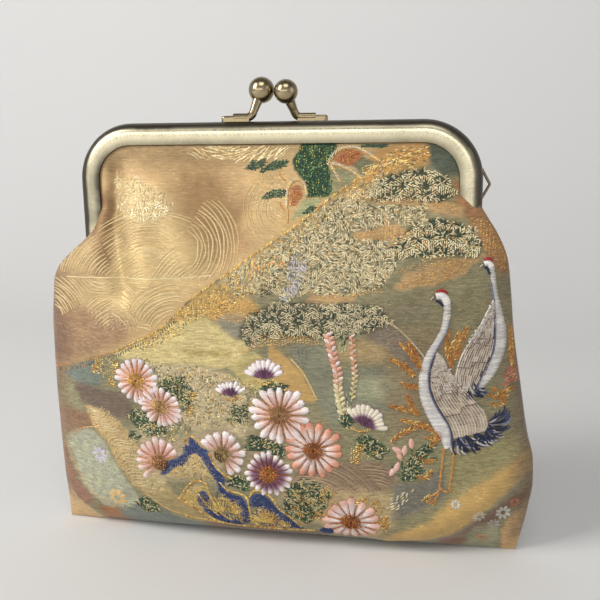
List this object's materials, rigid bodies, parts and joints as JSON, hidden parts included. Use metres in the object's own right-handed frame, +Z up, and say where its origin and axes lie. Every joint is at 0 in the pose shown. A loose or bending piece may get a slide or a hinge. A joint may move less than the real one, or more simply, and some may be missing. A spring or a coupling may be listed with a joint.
{
  "type": "coin purse",
  "caption": "Flat brocade coin purse on a hinged metal kiss-lock frame, with strap loops at the sides; the two frame halves swing open.",
  "frame": {"origin": "centre of the purse's base", "axes": "+Z up, from the base to the clasp; -Y is the front face; X runs across the width, along the hinge axis"},
  "size_m": [0.1242, 0.0268, 0.1192],
  "materials": {
    "brocade": "woven satin brocade, gold-tan ground",
    "interfacing": "felted interfacing",
    "lining": "plain satin lining",
    "paper_cord": "twisted paper",
    "frame_brass": "antique brass, brushed",
    "clasp_brass": "antique brass, polished",
    "rivet_brass": "antique brass, domed",
    "wire": "dark antique brass wire"
  },
  "bodies": {
    "pouch": {"front_panel_lower": "brocade", "front_interfacing_lower": "interfacing", "front_lining_lower": "lining", "back_panel_lower": "brocade", "back_interfacing_lower": "interfacing", "back_lining_lower": "lining"},
    "front_frame": {"front_frame": "frame_brass", "front_clasp_stalk": "clasp_brass", "front_clasp_ball": "clasp_brass", "front_paper_cord": "paper_cord", "front_panel_upper": "brocade", "front_interfacing_upper": "interfacing", "front_lining_upper": "lining"},
    "back_frame": {"back_frame": "frame_brass", "back_clasp_stalk": "clasp_brass", "back_clasp_ball": "clasp_brass", "back_paper_cord": "paper_cord", "left_hinge_rivet": "rivet_brass", "right_hinge_rivet": "rivet_brass", "left_strap_loop": "wire", "right_strap_loop": "wire", "back_panel_upper": "brocade", "back_interfacing_upper": "interfacing", "back_lining_upper": "lining"}
  },
  "joints": [
    {"name": "front_frame_hinge", "type": "hinge", "parent": "pouch", "child": "front_frame", "pos_m": [0, 0, 0.074], "axis": [1, 0, 0], "range_deg": [0, 40]},
    {"name": "back_frame_hinge", "type": "hinge", "parent": "pouch", "child": "back_frame", "pos_m": [0, 0, 0.074], "axis": [1, 0, 0], "range_deg": [-40, 0]}
  ],
  "couplings": [
    {"joint": "front_frame_hinge", "follows": "back_frame_hinge", "ratio": -1}
  ]
}
